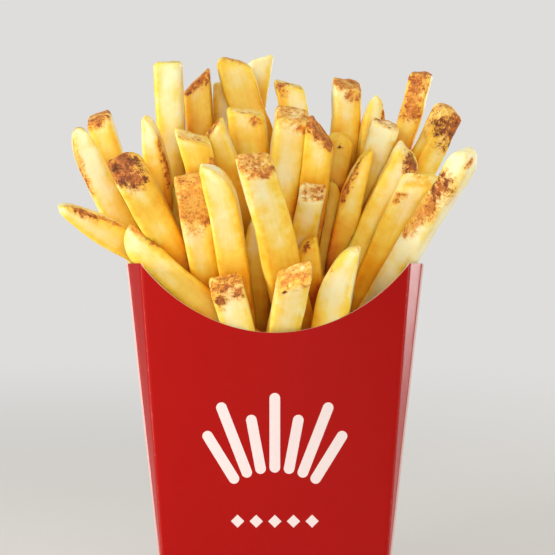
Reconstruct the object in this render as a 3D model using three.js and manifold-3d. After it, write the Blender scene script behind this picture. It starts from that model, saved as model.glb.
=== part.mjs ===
// A portion of french fries standing in a tapered folding carton.
// Millimetres, +Z up. The origin is the centre of the carton's flat base; the low scooped front faces -Y.
import * as THREE from "three";
import { mergeVertices } from "three/addons/utils/BufferGeometryUtils.js";
import Module from "manifold-3d";

const wasm = await Module();
wasm.setup();

// The carton: a front panel with a scooped rim, two flared sides and a taller arched back.
const carton = {
  board: 0.5, // thickness of the folded board
  floor: 0.9,
  rimHeight: 107.2, // at both ends of the scoop
  scoopDip: 20.4, // how far the scoop falls below the rim
  sideDrop: { fold: 1, back: 3.2 }, // the side panels' top edges slope down towards the back
  backTop: 128, // top of the arched back
  frontHalf: { base: 33, rim: 40.4 },
  foldHalf: { base: 33.7, rim: 45.2 }, // a fold in each side, just behind the front panel
  backHalf: { base: 33.9, rim: 45.7 },
  frontY: { base: -17, rim: -22 },
  foldY: { base: -9, rim: -8 },
  backY: { base: 19, rim: 26 },
  frontBow: { base: 2, rim: 7 }, // the panels bulge outwards between their folds
  backBow: { base: 0, rim: 1.5 },
  columns: { front: 26, side: 3, back: 18 },
};

// The packed middle of the heap, which the loose ends stand in.
const core = {
  gap: 0.4, // clear of the board
  shoulder: 82, // the core fills the carton up to here
  dome: [
    { height: 90, share: 0.82 }, // of the section
    { height: 97, share: 0.6 },
    { height: 101, share: 0.3 },
  ],
};

// Each fry is placed as it is seen from this far in front and slightly above, aiming at this point.
const view = { tilt: THREE.MathUtils.degToRad(4), distance: 1100, across: 0.8, up: 101.4 };

const stick = {
  thick: 8.3,
  corner: 0.3, // chamfer of the section, as a share of its smaller half
  rootHeight: 70, // roots end inside the core
  longest: 96,
  endRound: 1, // length over which the end narrows
  endShare: 0.8,
  taperSteps: [0.25, 0.6, 1],
  narrowest: 0.2, // width left at the end of a taper
  thinnest: 0.4, // thickness left there
  roll: { swing: THREE.MathUtils.degToRad(7), step: 2.4 },
};

// Starting depth of each row, and how the rows are then pushed apart.
const packing = {
  firstRow: -17,
  rowStep: 5.6,
  fan: 1.45, // tips lean out by this much more than the roots
  looseFrom: 84, // below this the fries may be buried in each other
  buried: 0.3, // share of the full spacing kept where one of the two is out of sight
  tipReach: [-43, 33],
  sampleStep: 4,
  rounds: 300,
  wallGap: 0.6,
  touchGap: 0.3, // left where a corner still touches the board
  snug: 0.98,
};

const fry = (tip, low, wide, more = {}) => ({
  tip,
  low,
  wide,
  thick: stick.thick,
  cut: [0, 0], // slope of the end face: across, and away from the front
  taper: [0, 0], // length, and the edge that stays straight: -1 left, 1 right
  bow: 0, // sideways bend
  ...more,
});

// tip and low are the two ends of what shows of the fry, across and up, before its root goes into the heap.
const rows = [
  [
    fry([-15.2, 100.3], [-10.8, 83.9], 9.8, { cut: [0, 0.5] }),
    fry([6, 102.6], [3.2, 83.9], 10, { cut: [0.75, 0.2] }),
    fry([21, 111.6], [16.8, 86.9], 10.4, { taper: [22, 1], cut: [0, 0.2] }),
  ],
  [
    fry([-46.8, 114.4], [-21.5, 93.2], 9, { taper: [10, 1] }),
    fry([59.2, 140], [32.2, 95.5], 8.3, { taper: [6, 0], cut: [0, 0.2] }),
    fry([-18.5, 136], [-12.2, 92], 9, { taper: [12, -1], bow: 1.4 }),
    fry([-6, 136.3], [3, 97.6], 10.8, { cut: [-0.3, 0.35], bow: 0.8, thick: 9 }),
    fry([8.8, 112.8], [13.1, 88.9], 8, { taper: [12, 1] }),
    fry([44.7, 131.8], [30, 101], 10.8, { cut: [0.2, 0.4], taper: [7, 0] }),
  ],
  [
    fry([-26, 131], [-19.7, 94.6], 9.6, { cut: [0, 0.3] }),
    fry([-5.9, 119.7], [-5.4, 91.5], 8, { taper: [18, 0] }),
    fry([42, 139.4], [30, 117.4], 9.2, { taper: [8, -1], cut: [0, 0.4] }),
    fry([-45.8, 136.5], [-25.2, 98.5], 10.2, { cut: [0, 0.75], taper: [4, -1], thick: 9 }),
    fry([11.6, 127.8], [7.6, 108.3], 8.2, { cut: [0.1, 0.2] }),
    fry([26.4, 141], [20.2, 112.9], 7.6, { taper: [30, 1] }),
    fry([-66, 123.2], [-36.5, 107.4], 8.6, { taper: [26, 0], thick: 7.8 }),
  ],
  [
    fry([-60.6, 147], [-42.4, 117.4], 8.3, { taper: [12, 0], bow: -4 }),
    fry([33.9, 148.5], [26.5, 120.5], 8.8, { cut: [-0.1, 0.1] }),
    fry([14, 146.2], [11.5, 126], 8.6, { cut: [-1, 0] }),
    fry([5.5, 151.4], [-1, 113], 10.4, { cut: [0, 0.4], bow: 0.6 }),
    fry([-37.4, 150.8], [-33.5, 122], 7.8, { taper: [24, -1] }),
    fry([-25.1, 144.4], [-20.7, 127], 9.4, { cut: [-0.3, 0.3] }),
    fry([53.6, 153.4], [42, 130], 10, { taper: [5, 0], cut: [0, 0.2] }),
  ],
  [
    fry([-19.1, 146.8], [-12, 128], 8, { cut: [0.7, 0] }),
    fry([20.4, 145.3], [16, 122], 8, { taper: [4, 0], cut: [0, 0.3] }),
    fry([-9, 152.3], [-6.6, 132.7], 11, { cut: [-0.3, 0.7] }),
    fry([-54.1, 150.6], [-47.1, 129.6], 7.7, { cut: [0.05, 0.5] }),
    fry([30.9, 156.8], [29, 138], 7.8, { taper: [18, 0] }),
  ],
  [
    fry([44.8, 163.4], [37.5, 138], 6.7, { thick: 6.8, cut: [0.35, 0.1], taper: [5, 1] }),
    fry([-13.4, 168.4], [-6.2, 146], 10.4, { cut: [-0.5, 0.2], taper: [4, 0] }),
    fry([4.2, 160.4], [7, 145], 8.6, { cut: [-0.45, 0.2] }),
    fry([-32.6, 167], [-31.2, 121], 8.2),
  ],
  [
    fry([22, 160.9], [21, 140.3], 8.6, { cut: [-0.2, 0.4] }),
    fry([-23.7, 161.9], [-22.3, 140.3], 8.2, { cut: [0.8, 0.2] }),
    fry([-15.2, 160.7], [-15.4, 144], 7.3),
    fry([-4.5, 168.2], [-7.2, 148], 7.4, { cut: [0.45, 0] }),
  ],
];

// Shorter fries behind, which only the back and the sides show.
const backFill = {
  seed: 11,
  count: 13, // in two staggered rows
  across: 35,
  up: [119, 138],
  shown: 35,
  lean: 0.25, // outwards, as a share of the distance from the middle
  wide: [7.4, 8.6],
  uneven: 0.3, // share of the spacing
};

const mix = (a, b, t) => a + (b - a) * t;

// A small repeatable random sequence from 0 to 1.
function randomFrom(seed) {
  let state = seed;
  return () => {
    state = (state * 16807) % 2147483647;
    return state / 2147483647;
  };
}

// A closed body through rings of equal point counts, with a flat fan over the first and last ring.
function bodyThrough(rings) {
  const n = rings[0].length;
  const triangles = [];
  for (let r = 0; r + 1 < rings.length; r++)
    for (let i = 0; i < n; i++) {
      const j = (i + 1) % n;
      const [a, b, c, d] = [r * n + i, r * n + j, (r + 1) * n + j, (r + 1) * n + i];
      triangles.push(a, b, c, a, c, d);
    }
  const last = (rings.length - 1) * n;
  for (let i = 1; i + 1 < n; i++) triangles.push(0, i + 1, i, last, last + i, last + i + 1);
  const geometry = new THREE.BufferGeometry().setFromPoints(rings.flat());
  geometry.setIndex(triangles);
  return geometry;
}

function solidFrom(geometry) {
  const merged = mergeVertices(geometry, 1e-4);
  return new wasm.Manifold(
    new wasm.Mesh({
      numProp: 3,
      vertProperties: merged.attributes.position.array,
      triVerts: new Uint32Array(merged.index.array),
    }),
  );
}

function geometryFrom(solid) {
  const mesh = solid.getMesh();
  const geometry = new THREE.BufferGeometry();
  geometry.setAttribute("position", new THREE.BufferAttribute(mesh.vertProperties, 3));
  geometry.setIndex(new THREE.BufferAttribute(mesh.triVerts, 1));
  geometry.computeVertexNormals();
  return geometry;
}

// The carton's plan outline at a height, counter-clockwise seen from above, pulled in by inset.
function outlineAt(height, inset = 0) {
  const t = height / carton.rimHeight;
  const size = (name) => mix(carton[name].base, carton[name].rim, t);
  const { front, side, back } = carton.columns;
  const points = [];
  for (let i = 0; i < front; i++) {
    const share = (2 * i) / front - 1;
    points.push([share * size("frontHalf"), size("frontY") - size("frontBow") * (1 - share * share)]);
  }
  const sidePoints = [];
  for (let i = 0; i < side; i++)
    sidePoints.push([
      mix(size("frontHalf"), size("foldHalf"), i / side),
      mix(size("frontY"), size("foldY"), i / side),
    ]);
  for (let i = 0; i <= side; i++)
    sidePoints.push([
      mix(size("foldHalf"), size("backHalf"), i / side),
      mix(size("foldY"), size("backY"), i / side),
    ]);
  points.push(...sidePoints);
  for (let i = 1; i < back; i++) {
    const share = 1 - (2 * i) / back;
    points.push([share * size("backHalf"), size("backY") + size("backBow") * (1 - share * share)]);
  }
  points.push(...sidePoints.slice(1).reverse().map(([x, y]) => [-x, y]));
  return insetOutline(points, inset);
}

// Moves each corner inwards so that every edge ends up the same distance further in.
function insetOutline(points, distance) {
  const n = points.length;
  const inwards = (a, b) => {
    const length = Math.hypot(b[0] - a[0], b[1] - a[1]);
    return [-(b[1] - a[1]) / length, (b[0] - a[0]) / length];
  };
  return points.map((p, i) => {
    const before = inwards(points[(i + n - 1) % n], p);
    const after = inwards(p, points[(i + 1) % n]);
    const scale = distance / (1 + before[0] * after[0] + before[1] * after[1]);
    return [p[0] + (before[0] + after[0]) * scale, p[1] + (before[1] + after[1]) * scale];
  });
}

const scoopRadius = (carton.frontHalf.rim ** 2 + carton.scoopDip ** 2) / (2 * carton.scoopDip);

// Height of the scooped front edge at a distance across.
function scoopHeight(across) {
  const x = Math.min(Math.abs(across), carton.frontHalf.rim);
  return carton.rimHeight - carton.scoopDip + scoopRadius - Math.sqrt(scoopRadius ** 2 - x * x);
}

// Height of the arched back edge at a distance across.
function archHeight(across) {
  const share = Math.min(Math.abs(across) / carton.backHalf.rim, 1);
  const ends = carton.rimHeight - carton.sideDrop.back;
  return ends + (carton.backTop - ends) * (1 - share * share) ** 0.8;
}

// Height of a side panel's top edge at a depth.
function sideHeight(y) {
  const { rimHeight, sideDrop, frontY, foldY, backY } = carton;
  if (y < foldY.rim) return rimHeight - sideDrop.fold * ((y - frontY.rim) / (foldY.rim - frontY.rim));
  return rimHeight - mix(sideDrop.fold, sideDrop.back, (y - foldY.rim) / (backY.rim - foldY.rim));
}

// The rim's height at each column of the outline.
function rimHeights() {
  const { front, side, back } = carton.columns;
  return outlineAt(carton.rimHeight).map(([x, y], i) => {
    if (i <= front) return scoopHeight(x);
    if (i >= front + 2 * side && i <= front + 2 * side + back) return archHeight(x);
    return sideHeight(y);
  });
}

// The folded board, or the same shape grown all round.
function cartonSolid(grow = 0) {
  const heights = rimHeights();
  const wall = (heightOf, inset) => {
    const base = outlineAt(0, inset);
    const rim = outlineAt(carton.rimHeight, inset);
    return base.map((p, i) => {
      const z = heightOf(i);
      const t = z / carton.rimHeight;
      return new THREE.Vector3(mix(p[0], rim[i][0], t), mix(p[1], rim[i][1], t), z);
    });
  };
  const rings = [
    wall(() => -grow, -grow),
    wall((i) => heights[i] + grow, -grow),
    wall((i) => heights[i] + grow, carton.board + grow),
    wall(() => carton.floor + grow, carton.board + grow),
  ];
  return solidFrom(bodyThrough(rings));
}

function coreSolid() {
  const inset = carton.board + core.gap;
  const ring = (height, share) =>
    outlineAt(Math.min(height, core.shoulder), inset).map(
      ([x, y]) => new THREE.Vector3(x * share, y * share, height),
    );
  const rings = [ring(carton.floor + core.gap, 1), ring(core.shoulder, 1)];
  for (const { height, share } of core.dome) rings.push(ring(height, share));
  return solidFrom(bodyThrough(rings));
}

// The point that is seen at (across, up) and lies y deep.
function seenAt(across, up, y) {
  const [sin, cos] = [Math.sin(view.tilt), Math.cos(view.tilt)];
  const rise = up - view.up;
  const depth = (y - rise * sin) / (cos + (rise * sin) / view.distance);
  const scale = 1 + depth / view.distance;
  return new THREE.Vector3(
    view.across + (across - view.across) * scale,
    y,
    view.up + rise * scale * cos - depth * sin,
  );
}

// Runs each fry on down from its low point to a root inside the carton.
function plant(row, f) {
  const [dx, dz] = [f.low[0] - f.tip[0], f.low[1] - f.tip[1]];
  const shown = Math.hypot(dx, dz);
  const length = Math.min(((f.tip[1] - stick.rootHeight) / -dz) * shown, stick.longest);
  const root = [f.tip[0] + (dx / shown) * length, f.tip[1] + (dz / shown) * length];
  const room = mix(carton.frontHalf.base, carton.frontHalf.rim, root[1] / carton.rimHeight);
  const most = room - f.wide / 2 - packing.wallGap - carton.board;
  root[0] = THREE.MathUtils.clamp(root[0], -most, most);
  const y = packing.firstRow + packing.rowStep * row;
  return { ...f, root, length, rootY: y, tipY: y * packing.fan };
}

function backRows() {
  const { seed, count, across, up, shown, lean, wide, uneven } = backFill;
  const random = randomFrom(seed);
  const behind = Array.from({ length: count }, (_, i) => {
    const place = mix(-across, across, (i + 0.5 + uneven * (random() - 0.5)) / count);
    const top = mix(up[0], up[1], random());
    const width = mix(wide[0], wide[1], random());
    return fry([place * (1 + lean), top], [place, top - shown], width, { cut: [random() - 0.5, 0] });
  });
  return [behind.filter((_, i) => i % 2), behind.filter((_, i) => i % 2 === 0)];
}

// Where a fry's centre line is at a share of the way from its tip to its root.
const lineAt = (f, s) => ({
  across: mix(f.tip[0], f.root[0], s) + f.bow * 4 * s * (1 - s),
  up: mix(f.tip[1], f.root[1], s),
  y: mix(f.tipY, f.rootY, s),
});

// Every place where a fry passes in front of a later one, and how far apart they must be in depth there.
function crossings(fries) {
  const samples = fries.map((f) => {
    const loose = (f.tip[1] - packing.looseFrom) / (f.tip[1] - f.root[1]);
    const steps = Math.ceil((loose * f.length) / packing.sampleStep);
    return Array.from({ length: steps + 1 }, (_, k) => {
      const s = (loose * k) / steps;
      const place = lineAt(f, s);
      return { s, inSight: place.up > f.low[1] - f.wide / 2, ...place };
    });
  });
  const found = [];
  fries.forEach((front, i) => {
    for (let j = i + 1; j < fries.length; j++) {
      const reach = ((front.wide + fries[j].wide) / 2) * packing.snug;
      for (const a of samples[i])
        for (const b of samples[j]) {
          const apart = Math.hypot(a.across - b.across, a.up - b.up) / reach;
          if (apart >= 1 || !a.inSight) continue;
          const full = ((front.thick + fries[j].thick) / 2) * (1 - apart ** 4) ** 0.25;
          const need = b.inSight ? full : full * packing.buried;
          found.push({ front, behind: fries[j], a: a.s, b: b.s, need });
        }
    }
  });
  return found;
}

// Moves the two ends in depth, each by its share of what is wanted at s.
function shift(f, s, by) {
  f.tipY += by * (1 - s);
  f.rootY += by * s;
}

// Keeps a fry inside the panels at its root, and clear of their edges where it passes over them.
function keepInside(f) {
  const { frontHalf, frontY, frontBow, foldHalf, foldY, backY, rimHeight, scoopDip, board } = carton;
  const lean = [
    (f.tip[0] - f.root[0]) / (f.tip[1] - f.root[1]),
    (f.tipY - f.rootY) / (f.tip[1] - f.root[1]),
  ];
  const halfWide = (f.wide / 2) * Math.hypot(1, lean[0]) + packing.wallGap + board;
  const halfThick = (f.thick / 2) * Math.hypot(1, lean[1]) + packing.wallGap + board;
  const frontAt = (height, across) => {
    const t = height / rimHeight;
    const bulge = 1 - Math.min(Math.abs(across) / frontHalf.rim, 1) ** 2;
    return mix(frontY.base, frontY.rim, t) - mix(frontBow.base, frontBow.rim, t) * bulge + halfThick;
  };
  const backAt = (height) => mix(backY.base, backY.rim, height / rimHeight) - halfThick;
  const shareAt = (height) => THREE.MathUtils.clamp((f.tip[1] - height) / (f.tip[1] - f.root[1]), 0, 1);
  f.tipY = THREE.MathUtils.clamp(f.tipY, ...packing.tipReach);
  f.rootY = THREE.MathUtils.clamp(f.rootY, frontAt(f.root[1], f.root[0]), backAt(f.root[1]));

  const scoop = scoopHeight(lineAt(f, shareAt(rimHeight - scoopDip / 2)).across);
  const over = lineAt(f, shareAt(scoop));
  if (over.y < frontAt(scoop, over.across)) shift(f, shareAt(scoop), frontAt(scoop, over.across) - over.y);

  const atRim = lineAt(f, shareAt(rimHeight));
  const outwards = Math.abs(atRim.across) + halfWide - frontHalf.rim;
  const least = frontY.rim + (outwards / (foldHalf.rim - frontHalf.rim)) * (foldY.rim - frontY.rim);
  if (outwards > 0 && atRim.y < least) shift(f, shareAt(rimHeight), Math.min(least, foldY.rim) - atRim.y);

  const arch = archHeight(atRim.across);
  const past = lineAt(f, shareAt(arch));
  if (past.y > backAt(arch)) shift(f, shareAt(arch), backAt(arch) - past.y);
}

// Pushes the fries apart in depth until none that show pass through each other.
function settle(fries) {
  const places = crossings(fries);
  for (let round = 0; round < packing.rounds; round++) {
    for (const { front, behind, a, b, need } of places) {
      const short = need - (mix(behind.tipY, behind.rootY, b) - mix(front.tipY, front.rootY, a));
      if (short <= 0) continue;
      shift(front, a, -short / 2);
      shift(behind, b, short / 2);
    }
    fries.forEach(keepInside);
  }
  return fries;
}

// Share of the full width that is left at a distance from a tapered tip.
function widthLeft(f, distance) {
  if (distance >= f.taper[0]) return 1;
  const share = 1 - distance / f.taper[0];
  return Math.max(stick.narrowest, Math.sqrt(1 - share * share));
}

function fryBody(f, index) {
  const tip = seenAt(f.tip[0], f.tip[1], f.tipY);
  const root = seenAt(f.root[0], f.root[1], f.rootY);
  const axis = tip.clone().sub(root).normalize();
  const away = new THREE.Vector3(0, 1, 0).projectOnPlane(axis).normalize();
  away.applyAxisAngle(axis, stick.roll.swing * Math.sin(stick.roll.step * index));
  const right = away.clone().cross(axis);
  const length = tip.distanceTo(root);
  const distances = [0, stick.endRound, length];
  if (f.taper[0]) distances.push(...stick.taperSteps.map((share) => share * f.taper[0]));
  if (f.bow) distances.push(0.5 * length);
  const rings = distances.sort((a, b) => b - a).map((distance) => {
    const left = widthLeft(f, distance);
    const trim = distance === 0 ? stick.endShare : 1;
    const half = [(f.wide / 2) * left * trim, (f.thick / 2) * mix(stick.thinnest, 1, left) * trim];
    const chamfer = stick.corner * Math.min(half[0], half[1]);
    const s = distance / length;
    const middle = tip.clone().lerp(root, s);
    middle.addScaledVector(right, f.bow * 4 * s * (1 - s) + f.taper[1] * (1 - left) * (f.wide / 2));
    const slant = Math.max(0, 1 - distance / f.wide);
    return sectionCorners(half, chamfer).map(([u, v]) =>
      middle
        .clone()
        .addScaledVector(right, u)
        .addScaledVector(away, v)
        .addScaledVector(axis, slant * (f.cut[0] * u + f.cut[1] * v)),
    );
  });
  return solidFrom(bodyThrough(rings));
}

// The eight corners of a chamfered rectangle, turning from right towards away.
function sectionCorners([u, v], c) {
  return [
    [u, -v + c],
    [u, v - c],
    [u - c, v],
    [-u + c, v],
    [-u, v - c],
    [-u, -v + c],
    [-u + c, -v],
    [u - c, -v],
  ];
}

function heapSolid() {
  const planted = [...rows, ...backRows()].flatMap((row, k) => row.map((f) => plant(k, f)));
  const heap = wasm.Manifold.union([coreSolid(), ...settle(planted).map(fryBody)]);
  const clear = heap.subtract(cartonSolid(packing.touchGap));
  return clear.decompose().sort((a, b) => b.volume() - a.volume())[0];
}

function meshOf(name, solid, material) {
  const mesh = new THREE.Mesh(geometryFrom(solid), material);
  mesh.name = name;
  return mesh;
}

const redBoard = new THREE.MeshStandardMaterial({ color: 0xb81c1c, roughness: 0.38, metalness: 0 });
const friedPotato = new THREE.MeshStandardMaterial({ color: 0xf0cd62, roughness: 0.55, metalness: 0 });

const portion = new THREE.Group();
portion.add(meshOf("carton", cartonSolid(), redBoard));
portion.add(meshOf("fries", heapSolid(), friedPotato));

export default portion;
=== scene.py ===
# A portion of french fries standing in a folding carton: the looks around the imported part
import math

import bmesh
import bpy
from mathutils import Matrix, Vector, noise
from mathutils.bvhtree import BVHTree


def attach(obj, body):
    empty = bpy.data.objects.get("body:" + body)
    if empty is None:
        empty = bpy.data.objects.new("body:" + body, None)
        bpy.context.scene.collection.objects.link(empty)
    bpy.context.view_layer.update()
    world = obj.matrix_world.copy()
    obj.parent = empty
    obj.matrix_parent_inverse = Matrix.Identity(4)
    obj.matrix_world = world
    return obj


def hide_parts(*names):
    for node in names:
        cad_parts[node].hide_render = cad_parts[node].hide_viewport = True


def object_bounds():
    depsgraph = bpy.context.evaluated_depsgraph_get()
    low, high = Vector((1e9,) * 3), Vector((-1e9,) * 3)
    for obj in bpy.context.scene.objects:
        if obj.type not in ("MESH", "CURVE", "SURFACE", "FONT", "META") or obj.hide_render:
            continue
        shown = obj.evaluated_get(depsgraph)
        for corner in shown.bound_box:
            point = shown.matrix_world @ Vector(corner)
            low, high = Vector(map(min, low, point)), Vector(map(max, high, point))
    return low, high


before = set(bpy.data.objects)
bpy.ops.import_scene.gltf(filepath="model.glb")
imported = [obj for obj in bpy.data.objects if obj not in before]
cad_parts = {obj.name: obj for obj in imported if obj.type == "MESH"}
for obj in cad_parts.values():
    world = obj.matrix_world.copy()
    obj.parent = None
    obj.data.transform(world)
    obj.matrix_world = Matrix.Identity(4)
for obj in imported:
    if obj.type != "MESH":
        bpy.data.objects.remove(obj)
cadBox = [list(corner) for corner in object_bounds()]
mm = 0.001
print("frame loaded")

# The picture is taken from this far in front and slightly above. Sizes here and below are in mm.
shot = {
    "tilt": 4.0,  # degrees
    "distance": 1100,
    "target": (0.8, 0, 101.4),
    "frameWidth": 169.3,  # what the square picture covers at the target
}


def mixed(a, b, t):
    return a + (b - a) * t


def clamped(value, low, high):
    return min(max(value, low), high)


def smoothStep(low, high, value):
    t = clamped((value - low) / (high - low), 0, 1)
    return t * t * (3 - 2 * t)


# A small repeatable random sequence from 0 to 1
def randomFrom(seed):
    state = seed
    while True:
        state = (state * 16807) % 2147483647
        yield state / 2147483647


def linkObject(obj):
    bpy.context.scene.collection.objects.link(obj)
    return obj


def aimCamera():
    tilt = math.radians(shot["tilt"])
    back = Vector((0, -math.cos(tilt), math.sin(tilt)))
    cameraData = bpy.data.cameras.new("camera")
    cameraData.sensor_width = 36
    cameraData.lens = cameraData.sensor_width * shot["distance"] / shot["frameWidth"]
    cameraData.clip_end = 60
    eye = linkObject(bpy.data.objects.new("camera", cameraData))
    eye.location = (Vector(shot["target"]) + back * shot["distance"]) * mm
    eye.rotation_mode = "QUATERNION"
    eye.rotation_quaternion = (-back).to_track_quat("-Z", "Y")
    bpy.context.scene.camera = eye


aimCamera()
print("camera aimed")


# Material helpers

def tint(red, green, blue):
    # screen colour, 0 to 255, to the linear colour that a shader takes
    def toLinear(level):
        level = level / 255
        return level / 12.92 if level <= 0.04045 else ((level + 0.055) / 1.055) ** 2.4
    return (toLinear(red), toLinear(green), toLinear(blue), 1)


def newMaterial(name):
    material = bpy.data.materials.new(name)
    material.use_nodes = True
    tree = material.node_tree
    tree.nodes.clear()
    shader = tree.nodes.new("ShaderNodeBsdfPrincipled")
    output = tree.nodes.new("ShaderNodeOutputMaterial")
    tree.links.new(shader.outputs[0], output.inputs["Surface"])
    return material, tree, shader


def feed(tree, socket, value):
    if isinstance(value, bpy.types.NodeSocket):
        tree.links.new(value, socket)
    else:
        socket.default_value = value


def addNode(tree, kind, inputs, **settings):
    node = tree.nodes.new("ShaderNode" + kind)
    for name, value in settings.items():
        setattr(node, name, value)
    for name, value in inputs.items():
        feed(tree, node.inputs[name], value)
    return node


def dress(tree, shader, sockets):
    for name, value in sockets.items():
        feed(tree, shader.inputs[name], value)


def calc(tree, operation, a, b=0.0, clamp=False):
    return addNode(tree, "Math", {0: a, 1: b}, operation=operation, use_clamp=clamp).outputs[0]


def addUp(tree, first, *others):
    total = first
    for value in others:
        total = calc(tree, "ADD", total, value)
    return total


def times(tree, a, b):
    return calc(tree, "MULTIPLY", a, b)


def minus(tree, a, b):
    return calc(tree, "SUBTRACT", a, b)


def lengthOf(tree, a, b):
    return calc(tree, "SQRT", addUp(tree, times(tree, a, a), times(tree, b, b)))


def nearestStep(tree, value, step, most):
    # the number of the nearest step, from -most to most
    index = calc(tree, "ROUND", calc(tree, "DIVIDE", value, step))
    return calc(tree, "MINIMUM", calc(tree, "MAXIMUM", index, -most), most)


def softStep(tree, value, low, high):
    inputs = {"Value": value, "From Min": low, "From Max": high}
    return addNode(tree, "MapRange", inputs, interpolation_type="SMOOTHSTEP").outputs[0]


def spread(tree, value, low, high):
    return addNode(tree, "MapRange", {"Value": value, "To Min": low, "To Max": high}).outputs[0]


def blend(tree, share, a, b):
    node = tree.nodes.new("ShaderNodeMix")
    node.data_type = "RGBA"
    feed(tree, node.inputs[0], share)
    feed(tree, node.inputs[6], a)
    feed(tree, node.inputs[7], b)
    return node.outputs[2]


def colourRamp(tree, value, stops):
    node = addNode(tree, "ValToRGB", {"Fac": value})
    elements = node.color_ramp.elements
    while len(elements) < len(stops):
        elements.new(0.5)
    for element, (position, colour) in zip(elements, stops):
        element.position = position
        element.color = colour
    return node.outputs[0]


def noiseAt(tree, where, size, detail, roughness, stretch=None):
    # size is that of the features, in mm
    if stretch:
        where = addNode(tree, "Mapping", {"Vector": where, "Scale": stretch}).outputs[0]
    inputs = {"Vector": where, "Scale": 1000 / size, "Detail": detail, "Roughness": roughness}
    return addNode(tree, "TexNoise", inputs).outputs[0]


def cellsAt(tree, where, size, feature="F1"):
    inputs = {"Vector": where, "Scale": 1000 / size}
    return addNode(tree, "TexVoronoi", inputs, feature=feature).outputs[0]


def bumped(tree, height, strength, depth, normal=None):
    # depth in mm
    inputs = {"Strength": strength, "Distance": depth * mm, "Height": height}
    if normal:
        inputs["Normal"] = normal
    return addNode(tree, "Bump", inputs).outputs[0]


def readAttribute(tree, name):
    return addNode(tree, "Attribute", {}, attribute_name=name).outputs["Fac"]


def joinRings(build, rings, side=0, bottom=0, top=0):
    # skins a stack of rings and closes its two ends; side, bottom and top are material numbers
    for low, high in zip(rings, rings[1:]):
        for i in range(len(low)):
            j = (i + 1) % len(low)
            build.faces.new((low[i], low[j], high[j], high[i])).material_index = side
    build.faces.new(rings[-1]).material_index = top
    build.faces.new(rings[0][::-1]).material_index = bottom


def addPiece(name, build, materials, attributes):
    # puts a bmesh in mm into the scene as a piece in metres, with a float per vertex under each name
    for edge in build.edges:
        finishes = {face.material_index for face in edge.link_faces}
        edge.smooth = len(finishes) < 2
    bmesh.ops.scale(build, vec=(mm, mm, mm), verts=build.verts)
    mesh = bpy.data.meshes.new(name)
    build.to_mesh(mesh)
    build.free()
    for attribute, values in attributes:
        mesh.attributes.new(attribute, "FLOAT", "POINT").data.foreach_set("value", values)
    for material in materials:
        mesh.materials.append(material)
    for polygon in mesh.polygons:
        polygon.use_smooth = True
    piece = linkObject(bpy.data.objects.new(name, mesh))
    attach(piece, "root")
    return piece


# The carton: a front sheet and a back sheet of coated board, glued where they overlap at the sides
carton = {
    "board": 0.5,
    "rimHeight": 107.2,
    "scoopDip": 20.4,
    "sideDrop": {"fold": 1, "back": 3.2},
    "backTop": 128,
    "frontHalf": {"base": 33, "rim": 40.4},
    "foldHalf": {"base": 33.7, "rim": 45.2},
    "backHalf": {"base": 33.9, "rim": 45.7},
    "frontY": {"base": -17, "rim": -22},
    "foldY": {"base": -9, "rim": -8},
    "backY": {"base": 19, "rim": 26},
    "frontBow": {"base": 2, "rim": 7},
    "backBow": {"base": 0, "rim": 1.5},
    "creaseRadius": 1.3,
    "glueLap": 9,  # the front sheet runs on this far inside the back sheet
    "footRadius": 1.0,
    "floorGap": 0.1,
    "waviness": 0.22,
    "waveSize": 26,
    "waveFrom": (8, 60),  # the waves fade in between these heights
    "rows": 28,
    "rowCrowding": 1.15,  # over 1, the rows lie closer together near the foot
    "creaseReach": (0.3, 1.5),  # a fold's scuffs and its painted highlight fade out between these distances from it
}

boardSide = {"coated": 0, "white": 1, "cut": 2}  # material numbers

coating = {
    "red": tint(169, 15, 9),
    "deepRed": tint(150, 6, 7),
    "brightRed": tint(190, 22, 20),
    "print": tint(240, 226, 222),
    "printShade": tint(226, 190, 188),
    "scuff": tint(226, 120, 116),
    # painted highlight along the folds, where they catch the light
    "foldHighlight": tint(246, 130, 112),
    "gloss": 0.09,
    "varnish": 0.03,
    "varnishRoughness": 0.2,
}

bareBoard = {
    "inside": (tint(244, 240, 230), tint(226, 220, 206)),
    "cutEdge": (tint(250, 226, 220), tint(236, 200, 192)),
    "yellowed": tint(236, 214, 168),
}


def sizeAt(name, height):
    return mixed(carton[name]["base"], carton[name]["rim"], height / carton["rimHeight"])


def spotAt(name, height):
    # where the front, fold or back corner lies in the plan, on the right
    return Vector((sizeAt(name + "Half", height), sizeAt(name + "Y", height)))


def scoopHeight(across):
    rim = carton["frontHalf"]["rim"]
    dip = carton["scoopDip"]
    radius = (rim * rim + dip * dip) / (2 * dip)
    x = min(abs(across), rim)
    return carton["rimHeight"] - dip + radius - math.sqrt(radius * radius - x * x)


def archHeight(across):
    share = min(abs(across) / carton["backHalf"]["rim"], 1)
    ends = carton["rimHeight"] - carton["sideDrop"]["back"]
    return ends + (carton["backTop"] - ends) * (1 - share * share) ** 0.8


def sideHeight(y):
    drop = carton["sideDrop"]
    front, fold, back = [carton[name]["rim"] for name in ("frontY", "foldY", "backY")]
    if y < fold:
        return carton["rimHeight"] - drop["fold"] * (y - front) / (fold - front)
    return carton["rimHeight"] - mixed(drop["fold"], drop["back"], (y - fold) / (back - fold))


def roundCorner(before, corner, after, steps=6):
    # points of a small bend between two panels
    points = []
    for k in range(1, steps):
        t = k / steps
        points.append(before * (1 - t) ** 2 + corner * 2 * t * (1 - t) + after * t * t)
    return points


def panelPoints(corner, start, bow, steps):
    # round the corner and along half of the bowed panel, to its middle
    reach = 1 - carton["creaseRadius"] / corner.x

    def panelAt(share):
        return Vector((share * corner.x, corner.y + bow * (1 - share * share)))

    points = roundCorner(start, corner, panelAt(reach))
    return points + [panelAt(reach * (1 - k / steps)) for k in range(steps + 1)]


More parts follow.
